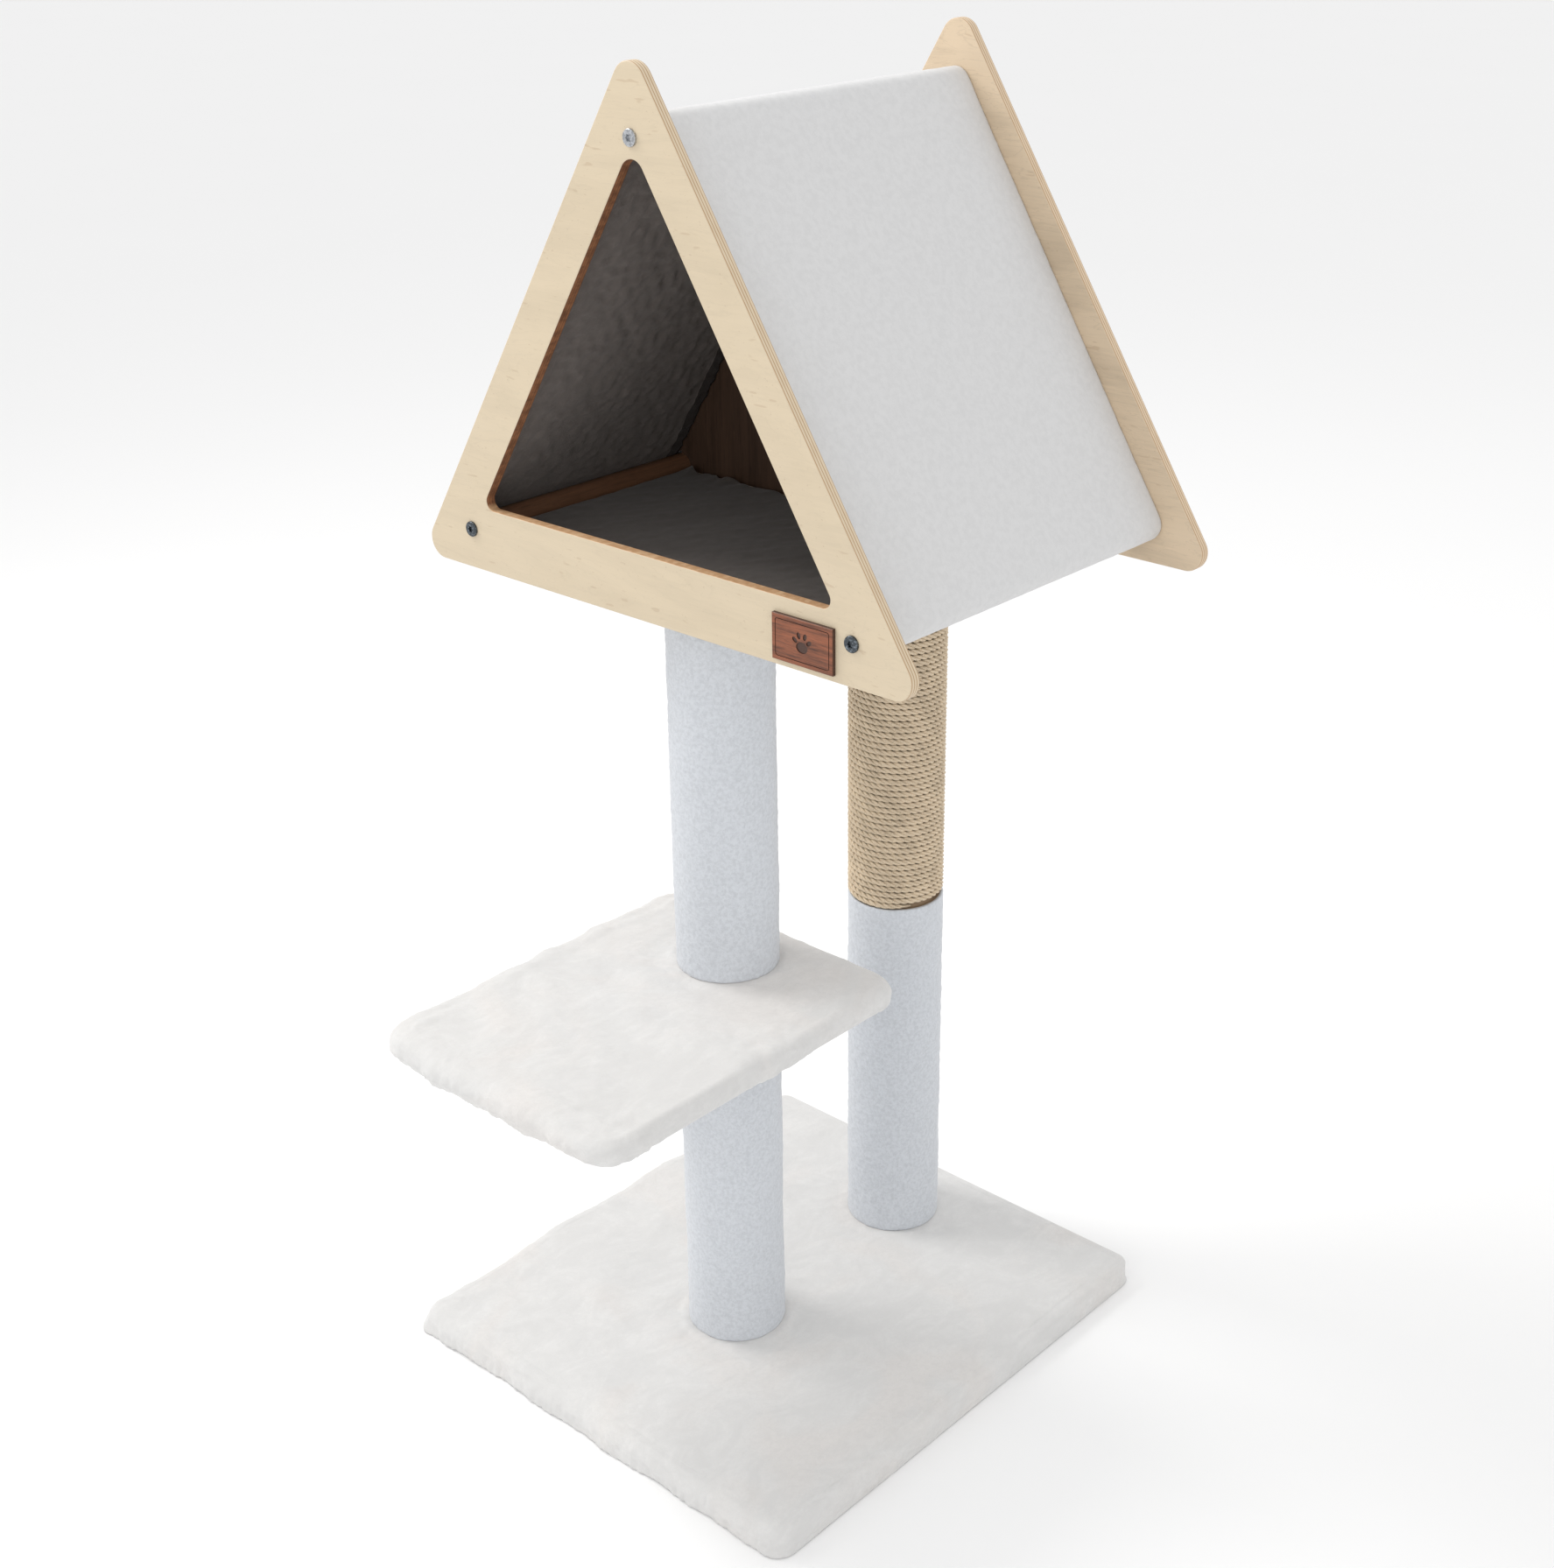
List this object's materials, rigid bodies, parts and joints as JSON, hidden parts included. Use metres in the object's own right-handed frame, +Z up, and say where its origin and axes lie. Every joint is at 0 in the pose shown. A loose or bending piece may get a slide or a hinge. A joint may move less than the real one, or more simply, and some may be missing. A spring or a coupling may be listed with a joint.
{
  "type": "cat tree",
  "caption": "Free-standing cat tree: triangular wood-and-felt den on two posts, one wound with rope, over a plush step and a plush-covered base.",
  "frame": {"origin": "centre of the base's underside, on the floor", "axes": "+X right along the den's doorway, +Y from the doorway to the den's back, +Z up"},
  "size_m": [0.567, 0.639, 1.2415],
  "materials": {
    "chipboard": "raw chipboard",
    "plush": "short warm-white plush pile",
    "liner_foam": "matt closed-cell foam sheet",
    "zinc_steel": "bright zinc plate",
    "brass": "turned brass",
    "cardboard": "spiral-wound cardboard",
    "post_felt": "short-pile felt, cool white",
    "sisal": "twisted three-strand sisal rope",
    "birch_plywood": "clear-lacquered birch plywood, visible plies on the edges",
    "dark_plywood": "dark-stained plywood",
    "beech": "oiled beech",
    "cover_felt": "light grey felt",
    "lining_felt": "charcoal mottled felt",
    "mat_felt": "charcoal felt",
    "badge_wood": "reddish-brown wood, engraved"
  },
  "bodies": {
    "root": {"front_panel": "birch_plywood", "rear_panel": "birch_plywood", "tent_cover": "cover_felt", "tent_lining": "lining_felt", "ridge_dowel": "beech", "left_dowel": "beech", "right_dowel": "beech", "dowel_inserts": "brass", "front_panel_screws": "zinc_steel", "rear_panel_screws": "zinc_steel", "name_badge": "badge_wood", "floor_board": "birch_plywood", "floor_mat": "mat_felt", "partition": "dark_plywood", "floor_pins": "beech", "partition_pins": "beech", "floor_bolts": "zinc_steel", "floor_washers": "zinc_steel", "front_lower_tube": "cardboard", "front_lower_sleeve": "post_felt", "front_upper_tube": "cardboard", "front_upper_sleeve": "post_felt", "rear_lower_tube": "cardboard", "rear_lower_sleeve": "post_felt", "rear_upper_tube": "cardboard", "rear_upper_sisal": "sisal", "wide_post_plugs": "beech", "narrow_post_plugs": "beech", "plug_inserts": "brass", "step_stud": "zinc_steel", "rear_post_stud": "zinc_steel", "step_board": "chipboard", "step_plush": "plush", "base_board": "chipboard", "base_plush": "plush", "base_liner": "liner_foam", "base_staples": "zinc_steel", "base_bolts": "zinc_steel", "base_washers": "zinc_steel"}
  },
  "joints": []
}
